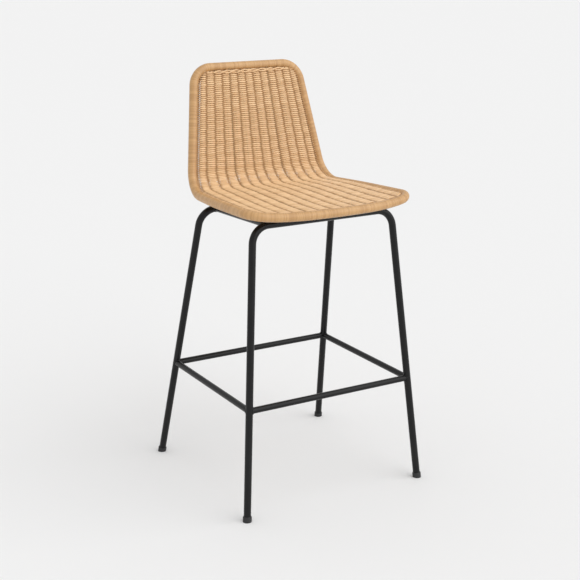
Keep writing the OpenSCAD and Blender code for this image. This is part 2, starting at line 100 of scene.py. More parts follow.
def profile(s):
    s = np.asarray(s, float)
    seat_way = np.array([[math.cos(SEAT_SLOPE)], [-math.sin(SEAT_SLOPE)]])
    seat = START[:, None] + np.minimum(s, S_BEND) * seat_way
    h = heading(np.clip(s, S_BEND, S_BACK - 1e-6))
    arc = BEND_RADIUS * np.array([np.sin(h) + math.sin(SEAT_SLOPE),
                                  math.cos(SEAT_SLOPE) - np.cos(h)])
    back = np.maximum(s - S_BACK, 0) * np.array([[math.sin(BACK_TILT)], [math.cos(BACK_TILT)]])
    return seat + np.where(s > S_BEND, arc, 0) + back


def half_width(s):
    back_line = TOP_HALF + (S_TOP - s) * math.tan(BACK_TAPER)
    seat_line = FRONT_HALF - s * math.tan(SEAT_TAPER)
    rounding = np.sqrt((back_line - seat_line) ** 2 + WAIST_BLEND ** 2)
    return (back_line + seat_line - rounding) / 2


def shell_up(s):
    h = heading(s)
    return np.stack([np.zeros_like(h), -np.sin(h), np.cos(h)], -1)


def shell_point(x, s, lift=0.0):
    x, s = np.broadcast_arrays(np.asarray(x, float), np.asarray(s, float))
    q = np.clip(s / S_BEND, 0, 1)
    hollow = DISH * (1 - q) ** 2 * (1 + 2 * q) * (1 - np.minimum(1, np.abs(x) / half_width(s)) ** 4)
    y, z = profile(s)
    return np.stack([x, y, z], -1) + (lift - hollow)[..., None] * shell_up(s)


rim_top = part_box("rim_binding_top")[1].z
shell_top = float(profile([S_TOP])[1, 0]) + RIM_RADIUS
print("rim top: CAD", round(rim_top, 4), "shell", round(shell_top, 4))

# %% [markdown]
# ## The rim's outline
# The rim runs round the shell: straight sides, an arc at each corner, and a
# front rail that bows forward. Half of it is laid out on the flat (x, s) sheet,
# mirrored, and then put on the shell.

# %% Rim outline
def arc_points(centre, radius, a, b, count):
    t = np.linspace(a, b, count)
    return np.stack([centre[0] + radius * np.cos(t), centre[1] + radius * np.sin(t)], -1)


top_centre = np.array([TOP_HALF - TOP_CORNER * math.tan((math.pi / 2 - BACK_TAPER) / 2),
                       S_TOP - TOP_CORNER])
front_chord = FRONT_HALF - FRONT_CORNER
FRONT_ARC = front_chord ** 2 / (2 * FRONT_BOW) + FRONT_BOW / 2
front_arc_centre = np.array([0, FRONT_ARC - FRONT_BOW])
side_normal = np.array([math.cos(SEAT_TAPER), math.sin(SEAT_TAPER)])
side_along = np.array([-math.sin(SEAT_TAPER), math.cos(SEAT_TAPER)])
side_reach = FRONT_HALF * math.cos(SEAT_TAPER) - FRONT_CORNER - front_arc_centre @ side_normal
front_centre = (front_arc_centre + side_reach * side_normal
                - math.sqrt((FRONT_ARC - FRONT_CORNER) ** 2 - side_reach ** 2) * side_along)
front_angle = math.atan2(*(front_centre - front_arc_centre)[::-1])


def half_outline(inset=0.0):
    """Right half, from the top's middle to the front's middle, moved inwards by inset."""
    top_s = top_centre[1] + (TOP_CORNER - inset) * math.sin(BACK_TAPER)
    front_s = front_centre[1] + (FRONT_CORNER - inset) * math.sin(SEAT_TAPER)
    s = np.linspace(top_s, front_s, 400)
    slope = np.gradient(half_width(s), s)
    sides = np.stack([half_width(s) - inset * np.sqrt(1 + slope ** 2), s], -1)
    top = np.stack([np.linspace(0, top_centre[0], 60), np.full(60, S_TOP - inset)], -1)
    return np.concatenate([
        top[:-1], arc_points(top_centre, TOP_CORNER - inset, math.pi / 2, BACK_TAPER, 40)[:-1],
        sides[:-1],
        arc_points(front_centre, FRONT_CORNER - inset, SEAT_TAPER, front_angle, 40)[:-1],
        arc_points(front_arc_centre, FRONT_ARC - inset, front_angle, -math.pi / 2, 120)])


def whole_outline(inset=0.0):
    right = half_outline(inset)
    left = right[-2:0:-1] * np.array([-1, 1])
    return np.concatenate([right, left])


outline = whole_outline()
rim_line = shell_point(outline[:, 0], outline[:, 1])
rim_length = np.linalg.norm(np.roll(rim_line, -1, 0) - rim_line, axis=1).sum()
print(f"rim tube: {len(outline)} points, {rim_length:.3f} m round")

# %% [markdown]
# ## Helpers for node trees
# Every repeated thing here is a strand: a line with a flat or round section
# swept along it. Each line goes to Blender as a guide mesh of edges, which
# carries two directions at every point, across the strand and out of the
# surface. One small helper adds a node and wires it up.

# %% Node helpers
def add(tree, kind, inputs=None, **settings):
    node = tree.nodes.new(kind)
    for key, value in settings.items():
        setattr(node, key, value)
    for key, value in (inputs or {}).items():
        if isinstance(value, bpy.types.NodeSocket):
            tree.links.new(value, node.inputs[key])
        else:
            node.inputs[key].default_value = value
    return node


def maths(tree, operation, *values):
    return add(tree, "ShaderNodeMath", dict(enumerate(values)), operation=operation).outputs[0]


def scaled(tree, vector, factor):
    return add(tree, "ShaderNodeVectorMath", {0: vector, "Scale": factor},
               operation="SCALE").outputs[0]


def plus(tree, a, b):
    return add(tree, "ShaderNodeVectorMath", {0: a, 1: b}, operation="ADD").outputs[0]


def blend_of(tree, factor, low, high):
    return add(tree, "ShaderNodeMapRange",
               {"Value": factor, "To Min": low, "To Max": high}).outputs[0]


def read(tree, name, kind="FLOAT"):
    return add(tree, "GeometryNodeInputNamedAttribute", {"Name": name},
               data_type=kind).outputs["Attribute"]


def store(tree, geometry, name, value, kind="FLOAT"):
    return add(tree, "GeometryNodeStoreNamedAttribute",
               {"Geometry": geometry, "Name": name, "Value": value}, data_type=kind).outputs[0]


def new_tree(name, sockets):
    tree = bpy.data.node_groups.new(name, "GeometryNodeTree")
    tree.interface.new_socket("Geometry", in_out="OUTPUT", socket_type="NodeSocketGeometry")
    tree.interface.new_socket("Geometry", in_out="INPUT", socket_type="NodeSocketGeometry")
    for label, value in sockets.items():
        kind = ("NodeSocketMaterial" if value is None
                else "NodeSocketVector" if isinstance(value, tuple)
                else "NodeSocketInt" if isinstance(value, int) else "NodeSocketFloat")
        socket = tree.interface.new_socket(label, in_out="INPUT", socket_type=kind)
        if value is not None:
            socket.default_value = value
    return (tree, tree.nodes.new("NodeGroupInput").outputs,
            tree.nodes.new("NodeGroupOutput").inputs)


# %% [markdown]
# ## The sweep
# Blender's Curve to Mesh gives a round section of one radius. Cane is flat in
# some places and round in others, so the sweep is done in two steps: Curve to
# Mesh lays out the faces, and Set Position puts each point on an ellipse
# spanned by the guide's two directions. All strands share this group.

# %% Sweep group
sweep, given, result = new_tree("Sweep a section", {
    "Centre": (0.0, 0.0, 0.0), "Half width": 0.001, "Half thickness": 0.001, "Sides": 8,
    "Material": None})
ring = add(sweep, "GeometryNodeCurvePrimitiveCircle",
           {"Resolution": given["Sides"], "Radius": 1.0})
ring_share = add(sweep, "GeometryNodeSplineParameter").outputs["Factor"]
around = maths(sweep, "MULTIPLY", ring_share, math.tau)
ring_out = store(sweep, ring.outputs["Curve"], "around", around)
rail = store(sweep, given["Geometry"], "centre", given["Centre"], "FLOAT_VECTOR")
rail = store(sweep, rail, "half_wide", given["Half width"])
rail = store(sweep, rail, "half_thick", given["Half thickness"])
tube = add(sweep, "GeometryNodeCurveToMesh",
           {"Curve": rail, "Profile Curve": ring_out, "Fill Caps": True}).outputs["Mesh"]
angle = read(sweep, "around")
wide = scaled(sweep, read(sweep, "side", "FLOAT_VECTOR"),
              maths(sweep, "MULTIPLY", maths(sweep, "COSINE", angle), read(sweep, "half_wide")))
thick = scaled(sweep, read(sweep, "out", "FLOAT_VECTOR"),
               maths(sweep, "MULTIPLY", maths(sweep, "SINE", angle), read(sweep, "half_thick")))
place = plus(sweep, read(sweep, "centre", "FLOAT_VECTOR"), plus(sweep, wide, thick))
shaped = add(sweep, "GeometryNodeSetPosition", {"Geometry": tube, "Position": place}).outputs[0]
for spare in ("centre", "half_wide", "half_thick", "side", "out"):
    shaped = add(sweep, "GeometryNodeRemoveAttribute",
                 {"Geometry": shaped, "Name": spare}).outputs[0]
shaped = add(sweep, "GeometryNodeSetShadeSmooth", {"Geometry": shaped}).outputs[0]
real = add(sweep, "GeometryNodeRealizeInstances", {"Geometry": shaped}).outputs[0]
painted = add(sweep, "GeometryNodeSetMaterial",
              {"Geometry": real, "Material": given["Material"]}).outputs[0]
sweep.links.new(painted, result["Geometry"])
print("sweep group has", len(sweep.nodes), "nodes")


def swept(tree, curve, centre, half_width, half_thickness, inputs):
    """Place the sweep group in a tree whose inputs hold the number of sides and the material."""
    node = add(tree, "GeometryNodeGroup", node_tree=sweep)
    for key, value in {"Geometry": curve, "Centre": centre, "Half width": half_width,
                       "Half thickness": half_thickness, "Sides": inputs["Sides"],
                       "Material": inputs["Material"]}.items():
        tree.links.new(value, node.inputs[key])
    return node.outputs["Geometry"]


# %% [markdown]
# ## From guide lines to a finished piece
# A guide is only edges, so it is never seen. The modifier's inputs are set by
# their identifiers, the evaluated result becomes a plain mesh, and a volume
# test turns it the right way out before it rides on the stool.

# %% Guides and pieces
def length_along(points):
    return np.concatenate([[0], np.cumsum(np.linalg.norm(np.diff(points, axis=0), axis=1))])


def guide_mesh(name, lines, closed=False, **extra):
    """Each line is (points, side, out); extra holds per-point values, an array per line."""
    counts = [len(points) for points, _, _ in lines]
    starts = np.cumsum([0] + counts[:-1])
    edges = [np.stack([np.arange(n - 1), np.arange(1, n)], -1) + a for n, a in zip(counts, starts)]
    if closed:
        edges += [np.array([[a + n - 1, a]]) for n, a in zip(counts, starts)]
    mesh = bpy.data.meshes.new(name)
    points = np.concatenate([line[0] for line in lines])
    mesh.from_pydata(points, np.concatenate(edges).tolist(), [])
    for label, column in (("side", 1), ("out", 2)):
        values = np.concatenate([line[column] for line in lines])
        values = values / np.linalg.norm(values, axis=1)[:, None]
        attribute = mesh.attributes.new(label, "FLOAT_VECTOR", "POINT")
        attribute.data.foreach_set("vector", values.ravel())
    for label, columns in extra.items():
        values = np.concatenate(columns).astype(np.float32)
        mesh.attributes.new(label, "FLOAT", "POINT").data.foreach_set("value", values)
    return mesh


def finish_piece(name, mesh, tree, slot, stands_for=(), **inputs):
    guide = bpy.data.objects.new("guide", mesh)
    bpy.context.scene.collection.objects.link(guide)
    modifier = guide.modifiers.new("nodes", "NODES")
    modifier.node_group = tree
    names = {key.replace("_", " ").lower(): value for key, value in inputs.items()}
    for item in tree.interface.items_tree:
        if item.in_out == "INPUT" and item.name.lower() in names:
            modifier[item.identifier] = names.pop(item.name.lower())
    if names:
        raise ValueError(f"{tree.name} has no input named {sorted(names)}")
    graph = bpy.context.evaluated_depsgraph_get()
    made = bpy.data.meshes.new_from_object(
        guide.evaluated_get(graph), preserve_all_data_layers=True, depsgraph=graph)
    bpy.data.objects.remove(guide)
    settle(name, made, stands_for)


def settle(name, mesh, stands_for=()):
    points = np.zeros(len(mesh.vertices) * 3)
    mesh.vertices.foreach_get("co", points)
    points = points.reshape(-1, 3)
    mesh.calc_loop_triangles()
    corners = np.zeros(len(mesh.loop_triangles) * 3, int)
    mesh.loop_triangles.foreach_get("vertices", corners)
    a, b, c = points[corners.reshape(-1, 3)].transpose(1, 0, 2)
    volume = np.einsum("ij,ij->i", a, np.cross(b, c)).sum() / 6
    if volume < 0:
        mesh.flip_normals()
    piece = bpy.data.objects.new(name, mesh)
    bpy.context.scene.collection.objects.link(piece)
    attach(piece, "root")
    if stands_for:
        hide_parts(*stands_for)
    print(f"{name}: {len(mesh.loop_triangles)} triangles, {abs(volume) * 1e6:.1f} cm3")


# %% [markdown]
# ## Shared finish groups
# A finish is a material of its own, but the small things that make it real are
# shared: the long fibres and tone of split cane, and the fine orange peel and
# dust of a sprayed coat. Each is a group that gives only colours and values,
# never a shader.

# %% Material helpers
def shader_group(name, inputs, outputs):
    tree = bpy.data.node_groups.new(name, "ShaderNodeTree")
    kinds = {"float": "NodeSocketFloat", "colour": "NodeSocketColor"}
    for label, (kind, value) in inputs.items():
        socket = tree.interface.new_socket(label, in_out="INPUT", socket_type=kinds[kind])
        socket.default_value = value
    for label, kind in outputs.items():
        tree.interface.new_socket(label, in_out="OUTPUT", socket_type=kinds[kind])
    return (tree, tree.nodes.new("NodeGroupInput").outputs,
            tree.nodes.new("NodeGroupOutput").inputs)


def noise(tree, vector, scale, detail=2.0, rough=0.5):
    return add(tree, "ShaderNodeTexNoise", {"Vector": vector, "Scale": scale, "Detail": detail,
                                            "Roughness": rough}).outputs["Fac"]


def mixed(tree, factor, a, b):
    node = add(tree, "ShaderNodeMix", data_type="RGBA", blend_type="MIX")
    for key, value in ((0, factor), (6, a), (7, b)):
        if isinstance(value, bpy.types.NodeSocket):
            tree.links.new(value, node.inputs[key])
        else:
            node.inputs[key].default_value = value
    return node.outputs[2]


def steps(tree, value, low, high):
    return add(tree, "ShaderNodeMapRange", {"Value": value, "From Min": low, "From Max": high},
               interpolation_type="SMOOTHSTEP").outputs[0]


def rgb(r, g, b):
    return (r, g, b, 1.0)


# %% [markdown]
# ### Split cane
# The cane is the outer skin of a vine: fine fibres run along each strand, and the tone changes from
# strand to strand and slowly along it. The creases of the weave and the weavers' ends at the rim
# get painted shade: there the colour is mixed towards the dark cane. The pattern reads the strand's
# own attributes, so the fibres turn with the strand.

# %% Cane group
cane_group, cane_in, cane_out = shader_group("Split cane", {
    "Along": ("float", 0.0), "Around": ("float", 0.0), "Tone": ("float", 0.5),
    "Painted_shade": ("float", 0.0),
    "Light": ("colour", rgb(0.8, 0.53, 0.27)), "Middle": ("colour", rgb(0.68, 0.42, 0.19)),
    "Dark": ("colour", rgb(0.38, 0.2, 0.08)), "Crease depth": ("float", 0.8)},
    {"Colour": "colour", "Roughness": "float", "Height": "float"})
where = add(cane_group, "ShaderNodeCombineXYZ", {
    "X": maths(cane_group, "MULTIPLY", cane_in["Along"], 22.0),
    "Y": maths(cane_group, "MULTIPLY", cane_in["Around"], 2.2),
    "Z": maths(cane_group, "MULTIPLY", cane_in["Tone"], 40.0)}).outputs[0]
fibre = noise(cane_group, where, 2.4, 3.0, 0.6)
slow = noise(cane_group, add(cane_group, "ShaderNodeCombineXYZ", {
    "X": maths(cane_group, "MULTIPLY", cane_in["Along"], 14.0),
    "Z": maths(cane_group, "MULTIPLY", cane_in["Tone"], 57.0)}).outputs[0], 1.0, 1.0)
tone = maths(cane_group, "ADD", maths(cane_group, "MULTIPLY", cane_in["Tone"], 0.55),
             maths(cane_group, "MULTIPLY", slow, 0.45))
cane_colour = mixed(cane_group, steps(cane_group, tone, 0.25, 0.75),
                    cane_in["Middle"], cane_in["Light"])
dark_fibre = maths(cane_group, "MULTIPLY", steps(cane_group, fibre, 0.52, 0.8), 0.4)
cane_colour = mixed(cane_group, dark_fibre, cane_colour, cane_in["Dark"])
# Painted shade: the creases between stakes and the weavers' ends at the rim are mixed towards the
# dark cane.
painted_shade = maths(cane_group, "MULTIPLY", steps(cane_group, cane_in["Painted_shade"], 0.2, 0.75),
               cane_in["Crease depth"])
cane_colour = mixed(cane_group, painted_shade, cane_colour, cane_in["Dark"])
cane_group.links.new(cane_colour, cane_out["Colour"])
cane_group.links.new(blend_of(cane_group, fibre, 0.34, 0.56), cane_out["Roughness"])
cane_group.links.new(fibre, cane_out["Height"])
print("cane group:", [item.name for item in cane_group.interface.items_tree])

# %% [markdown]
# ### Sprayed coat
# Powder coat melts into a skin with a faint orange peel about a millimetre
# across. The group gives that height, a slow change of gloss, and a mask of
# fine dust specks.

# %% Coat group
coat_group, coat_in, coat_out = shader_group("Sprayed coat", {
    "Peel per metre": ("float", 700.0), "Gloss low": ("float", 0.3), "Gloss high": ("float", 0.5),
    "Tint": ("colour", rgb(0.03, 0.03, 0.03)), "Dust": ("colour", rgb(0.2, 0.2, 0.2)),
    "Dust amount": ("float", 0.15)},
    {"Colour": "colour", "Roughness": "float", "Height": "float"})
spot = add(coat_group, "ShaderNodeTexCoord").outputs["Object"]
peel = noise(coat_group, spot, coat_in["Peel per metre"], 1.0)
cloud = noise(coat_group, spot, 18.0, 3.0, 0.6)
speck = steps(coat_group, noise(coat_group, spot, 2600.0, 1.0), 0.66, 0.8)
coat_colour = mixed(coat_group, maths(coat_group, "MULTIPLY", speck, coat_in["Dust amount"]),
                    coat_in["Tint"], coat_in["Dust"])
haze = maths(coat_group, "MULTIPLY", steps(coat_group, cloud, 0.45, 0.8), 0.12)
coat_colour = mixed(coat_group, haze, coat_colour, coat_in["Dust"])
coat_group.links.new(coat_colour, coat_out["Colour"])
gloss = add(coat_group, "ShaderNodeMapRange", {"Value": cloud, "From Min": 0.3, "From Max": 0.7,
            "To Min": coat_in["Gloss low"], "To Max": coat_in["Gloss high"]}).outputs[0]
coat_group.links.new(gloss, coat_out["Roughness"])
coat_group.links.new(peel, coat_out["Height"])
print("coat group:", [item.name for item in coat_group.interface.items_tree])


# %% [markdown]
# ## The materials
# Each material places the shared groups with its own values and keeps its own
# Principled BSDF. Gloss levels and coats that are the same all over are set on
# the shader's own sockets.

# %% Material makers
def material(name, group, values, bump, **shader):
    made = bpy.data.materials.new(name)
    made.use_nodes = True
    tree = made.node_tree
    bsdf = tree.nodes["Principled BSDF"]
    node = tree.nodes.new("ShaderNodeGroup")
    node.node_tree = group
    for key, value in values.items():
        node.inputs[key].default_value = value
    for key, value in shader.items():
        bsdf.inputs[key.replace("_", " ")].default_value = value
    height = add(tree, "ShaderNodeBump", {"Height": node.outputs["Height"], "Strength": bump[0],
                                          "Distance": bump[1]}).outputs[0]
    tree.links.new(node.outputs["Colour"], bsdf.inputs["Base Color"])
    tree.links.new(node.outputs["Roughness"], bsdf.inputs["Roughness"])
    tree.links.new(height, bsdf.inputs["Normal"])
    return made, node


def cane_material(name, light, middle, dark, bump):
    made, node = material(name, cane_group, {"Light": light, "Middle": middle, "Dark": dark},
                          (bump, 0.0004), Coat_Weight=0.35, Coat_Roughness=0.22)
    tree = made.node_tree
    for label in ("Along", "Around", "Tone", "Painted_shade"):
        reader = add(tree, "ShaderNodeAttribute", attribute_name=label.lower())
        tree.links.new(reader.outputs["Fac"], node.inputs[label])
    return made


weave_cane = cane_material("woven_cane", rgb(0.84, 0.56, 0.3), rgb(0.72, 0.45, 0.22),
                           rgb(0.4, 0.21, 0.08), 0.35)
rim_cane = cane_material("binding_cane", rgb(0.6, 0.35, 0.145), rgb(0.5, 0.275, 0.105),
                         rgb(0.36, 0.19, 0.07), 0.3)
# The stakes' cane is darker than the weavers': painted shade for the holes where the stakes and the
# edge cane show.
stake_cane_painted_shade = cane_material("stake_cane_painted_shade", rgb(0.4, 0.23, 0.1), rgb(0.32, 0.175, 0.07),
                           rgb(0.2, 0.1, 0.04), 0.3)
powder_coat, _ = material("powder_coat", coat_group, {
    "Tint": rgb(0.0045, 0.0045, 0.0048), "Dust": rgb(0.04, 0.039, 0.038), "Dust amount": 0.12,
    "Gloss low": 0.24, "Gloss high": 0.34}, (0.18, 0.0002), Specular_IOR_Level=0.28)
moulded, _ = material("foot_plastic", coat_group, {
    "Tint": rgb(0.015, 0.015, 0.016), "Dust": rgb(0.12, 0.115, 0.11), "Dust amount": 0.3,
    "Peel per metre": 1500.0, "Gloss low": 0.5, "Gloss high": 0.66}, (0.3, 0.0002))
primer, _ = material("shell_steel", coat_group, {
    "Tint": rgb(0.03, 0.027, 0.024), "Dust": rgb(0.12, 0.105, 0.09), "Dust amount": 0.2,
    "Peel per metre": 900.0, "Gloss low": 0.42, "Gloss high": 0.6}, (0.25, 0.0002))
tan_primer, _ = material("stay_steel", coat_group, {
    "Tint": rgb(0.36, 0.21, 0.09), "Dust": rgb(0.42, 0.28, 0.15), "Dust amount": 0.2,
    "Peel per metre": 900.0, "Gloss low": 0.42, "Gloss high": 0.6}, (0.25, 0.0002))
plating, _ = material("zinc_steel", coat_group, {
    "Tint": rgb(0.6, 0.61, 0.63), "Dust": rgb(0.75, 0.76, 0.78), "Dust amount": 0.3,
    "Peel per metre": 2200.0, "Gloss low": 0.26, "Gloss high": 0.42}, (0.12, 0.0001), Metallic=1.0)

# %% [markdown]
# ## Finishes on the CAD pieces
# The frame, feet and fixings already have their exact shape, so they keep it
# and only take a finish, by the slot that the record gives each of them. The
# two stays inside the weave are painted tan, so that its holes stay quiet.

# %% Dress the CAD nodes
finish_of = {"powder_coat": powder_coat, "foot_plastic": moulded, "shell_steel": primer,
             "zinc_steel": plating, "woven_cane": weave_cane, "binding_cane": rim_cane}
slot_of = {part["node"]: part["material_slot"] for part in frame["record"]["subparts"]}
for name, node in frame["nodes"].items():
    finish = tan_primer if name.startswith("shell_stay") else finish_of[slot_of[name]]
    node.data.materials.clear()
    node.data.materials.append(finish)
print(len(frame["nodes"]), "CAD nodes dressed in", len(set(slot_of.values())), "finishes")

# %% [markdown]
# ## The weave's rule
# The weave is plain: thin weavers run across and pass in front of one stake
# and behind the next, and their neighbours do the opposite. A count grows by
# one at every stake, so a cosine of the count gives how far a weaver stands
# out. Over a stake the weavers lie flat and wide, and between two stakes they
# dive, which leaves a narrow crease. At the rim, and a little at the two steel
# stays, they close up in pairs and leave small holes.

# %% Count of stakes crossed, as a function of the place across
BANDS = 13
HALF_BANDS = BANDS / 2
STAY_COUNT = 2.5
knots_count = [0, 1, 2, 3, 4, 5, 6, HALF_BANDS, HALF_BANDS + 0.5]
knots_u = [count / HALF_BANDS for count in knots_count[:7]] + [0.972, 1.03]
PITCH = 0.00265
END_GRIP = 0.007
FRONT_GAP, TOP_GAP = 0.0065, 0.0112
ROW_INSET = 0.005
WIDEST_X = 0.23
STAY_GRIP, STAY_REACH = 0.5, 0.25
SHORTEST_STEP = 0.0008


def inner_half(s):
    slope = (half_width(s + 0.001) - half_width(s - 0.001)) / 0.002
    return half_width(s) - EDGE_IN * np.sqrt(1 + slope ** 2)


def bowed(x, flat_s):
    """A row's s at x: it follows the bowed front rail, and straightens towards the bend."""
    bow = FRONT_ARC - FRONT_BOW - np.sqrt(FRONT_ARC ** 2 - x ** 2) + FRONT_BOW
    return flat_s + bow * np.clip(1 - flat_s / S_BEND, 0, 1)


inside = half_outline(ROW_INSET)
fine_x = np.linspace(0, WIDEST_X, 1800)


def row_end(flat_s):
    s = bowed(fine_x, flat_s)
    order = np.argsort(inside[:, 1], kind="stable")
    limit = np.interp(s, inside[order, 1], inside[order, 0])
    ahead = np.nonzero(fine_x > limit)[0]
    return fine_x[ahead[0]] if len(ahead) else fine_x[-1]


row_places = np.arange(-FRONT_BOW + FRONT_GAP, S_TOP - TOP_GAP, PITCH)
print(len(row_places), "weavers, one every", PITCH * 1000, "mm")

# %% [markdown]
# ## The weavers' guides
# Each weaver gets points where its curve needs them: eight for every half
# wave, closest where it dives. Its directions come from the surface, so
# that it lies flat in the seat, round the bend and up the back.

# %% Guides of the weavers
def surface_frame(x, s_of_x):
    """Points of a line across the weave, its direction along s and the one out of the surface."""
    step = 1e-4
    point = shell_point(x, s_of_x(x), WEAVE_LIFT)
    across = shell_point(x + step, s_of_x(x + step)) - shell_point(x - step, s_of_x(x - step))
    along = shell_point(x, s_of_x(x) + step) - shell_point(x, s_of_x(x) - step)
    out = np.cross(across, along)
    return point, np.cross(out, across), out


half_wave = np.array([0, 0.2, 0.36, 0.45, 0.5, 0.55, 0.64, 0.8])
counts = np.append((np.arange(7)[:, None] + half_wave).ravel(), 7.0)


def weaver_guide(flat_s, row):
    end = row_end(flat_s)
    u = np.interp(counts, knots_count, knots_u)
    x = u * inner_half(flat_s)
    x = np.append(x[x < end - SHORTEST_STEP], end)
    x = np.concatenate([-x[:0:-1], x])
    point, side, out = surface_frame(x, lambda v: bowed(v, flat_s))
    share = np.abs(x) / inner_half(bowed(x, flat_s))
    count = np.interp(share, knots_u, knots_count) * np.sign(x)
    to_end = (end - np.abs(x)) / END_GRIP
    near_stay = STAY_GRIP * np.clip(1 - np.abs(np.abs(count) - STAY_COUNT) / STAY_REACH, 0, 1)
    grip = np.maximum(np.clip(2 - to_end, 0, 1), near_stay)
    return (point, side, out), count + row, np.clip(to_end, 0, 1), grip, x


weavers = [weaver_guide(s, row) for row, s in enumerate(row_places)]
print("points in the guides:", sum(len(w[4]) for w in weavers))

# %% [markdown]
# ## The weave as a node tree
# The tree holds the rule: how far a weaver stands out over a stake, how wide
# and how thick it is there and between the stakes, how much the weavers differ
# by hand, and with which seed. The exact sizes are inputs.

# %% Weave tree
weave_tree, want, weave_result = new_tree("Woven rows", {
    "Lift": 0.0024, "Flatness": 0.55, "Width over a stake": 0.0045, "Width between stakes": 0.0028,
    "Thickness over a stake": 0.0026, "Thickness between stakes": 0.0014,
    "Width at the rim": 0.0015, "Pair shift": 0.0005, "Dive at the rim": 0.0035,
    "Shade at the rim": 0.55,
    "Crossing jitter": 0.09, "Hand": 0.00014, "Sides": 8, "Seed": 7, "Material": None})


def chance(tree, row, seed, shift):
    salted = maths(tree, "ADD", seed, shift)
    return add(tree, "FunctionNodeRandomValue", {"ID": row, "Seed": salted},
               data_type="FLOAT").outputs[1]


row = read(weave_tree, "row")
count = read(weave_tree, "count")
open_end = read(weave_tree, "open_end")
grip = read(weave_tree, "grip")
jitter = blend_of(weave_tree, chance(weave_tree, row, want["Seed"], 3.0), -0.5, 0.5)
crossing = maths(weave_tree, "MULTIPLY_ADD", jitter, want["Crossing jitter"], count)
swing = maths(weave_tree, "COSINE", maths(weave_tree, "MULTIPLY", crossing, math.pi))
over = maths(weave_tree, "POWER", maths(weave_tree, "ABSOLUTE", swing), want["Flatness"])
loose = maths(weave_tree, "SUBTRACT", 1.0, grip)
flat_swing = maths(weave_tree, "MULTIPLY", maths(weave_tree, "SIGN", swing), over)
lift = maths(weave_tree, "MULTIPLY", maths(weave_tree, "MULTIPLY", flat_swing, want["Lift"]),
             open_end)
shut_end = maths(weave_tree, "SUBTRACT", 1.0, open_end)
dive = maths(weave_tree, "MULTIPLY", shut_end, want["Dive at the rim"])
lift = maths(weave_tree, "SUBTRACT", lift, dive)

# %% [markdown]
# Over a stake a weaver is at its widest and thickest, and between the stakes it
# narrows and thins. No two are quite alike, so each has a width of its own and
# wanders a little from its line.

# %% Width, thickness and the maker's hand
width = blend_of(weave_tree, over, want["Width between stakes"], want["Width over a stake"])
width = blend_of(weave_tree, loose, want["Width at the rim"], width)
vary = blend_of(weave_tree, chance(weave_tree, row, want["Seed"], 1.0), 0.94, 1.06)
thickness = blend_of(weave_tree, over, want["Thickness between stakes"],
                     want["Thickness over a stake"])
wander = add(weave_tree, "ShaderNodeTexNoise", {"Vector": add(weave_tree, "ShaderNodeCombineXYZ", {
    "X": maths(weave_tree, "MULTIPLY", read(weave_tree, "along"), 30.0),
    "Y": maths(weave_tree, "MULTIPLY", row, 7.3)}).outputs[0], "Scale": 1.0}).outputs["Fac"]
hand = maths(weave_tree, "MULTIPLY", maths(weave_tree, "MULTIPLY_ADD", wander, 2.0, -1.0),
             want["Hand"])
pair = maths(weave_tree, "MULTIPLY_ADD", maths(weave_tree, "MODULO", row, 2.0), 2.0, -1.0)
pair = maths(weave_tree, "MULTIPLY", maths(weave_tree, "MULTIPLY", pair, want["Pair shift"]),
             grip)
moved = plus(weave_tree, add(weave_tree, "GeometryNodeInputPosition").outputs[0],
             plus(weave_tree, scaled(weave_tree, read(weave_tree, "out", "FLOAT_VECTOR"), lift),
                  scaled(weave_tree, read(weave_tree, "side", "FLOAT_VECTOR"),
                         maths(weave_tree, "SUBTRACT", hand, pair))))

# %% [markdown]
# Last, each weaver gets its tone and its painted shade for the cane finish: the shade is strongest
# where it dives between two stakes and at its end by the rim. The sweep turns the lines into
# strands, and what the finish doesn't read is removed.

# %% Tone, painted shade and sweep
curve = add(weave_tree, "GeometryNodeMeshToCurve", {"Mesh": want["Geometry"]}).outputs[0]
curve = store(weave_tree, curve, "tone", chance(weave_tree, row, want["Seed"], 2.0))
# Painted shade: darker where the weaver dives between stakes and where its end dives at the rim.
rim_shade = maths(weave_tree, "MULTIPLY", shut_end, want["Shade at the rim"])
shade = maths(weave_tree, "MAXIMUM", maths(weave_tree, "SUBTRACT", 1.0, over), rim_shade)
curve = store(weave_tree, curve, "painted_shade", shade)
half_wide = maths(weave_tree, "MULTIPLY", maths(weave_tree, "MULTIPLY", width, vary), 0.5)
half_thick = maths(weave_tree, "MULTIPLY", thickness, 0.5)
kept = swept(weave_tree, curve, moved, half_wide, half_thick, want)
for spare in ("count", "open_end", "grip", "row"):
    kept = add(weave_tree, "GeometryNodeRemoveAttribute",
               {"Geometry": kept, "Name": spare}).outputs[0]
weave_tree.links.new(kept, weave_result["Geometry"])
print("weave tree has", len(weave_tree.nodes), "nodes")

# %% [markdown]
# The shell is woven in four fields, each a piece of its own, so that no mesh
# grows too large to handle. Together they stand for the CAD's plain panel.

# %% Weave the shell
fields = {"weave_seat_front": (0, 0.42), "weave_seat_rear": (0.42, 1.0),
          "weave_lower_back": (1.0, 1.55), "weave_upper_back": (1.55, 9)}
for name, (start, end) in fields.items():
    chosen = [i for i, s in enumerate(row_places) if start <= max(s, 0) / S_BEND < end]
    lines = [weavers[i][0] for i in chosen]
    mesh = guide_mesh(name, lines, count=[weavers[i][1] for i in chosen],
                      open_end=[weavers[i][2] for i in chosen],
                      grip=[weavers[i][3] for i in chosen],
                      along=[weavers[i][4] for i in chosen],
                      row=[np.full(len(weavers[i][4]), i) for i in chosen])
    finish_piece(name, mesh, weave_tree, "woven_cane", ["woven_panel"], Material=weave_cane)
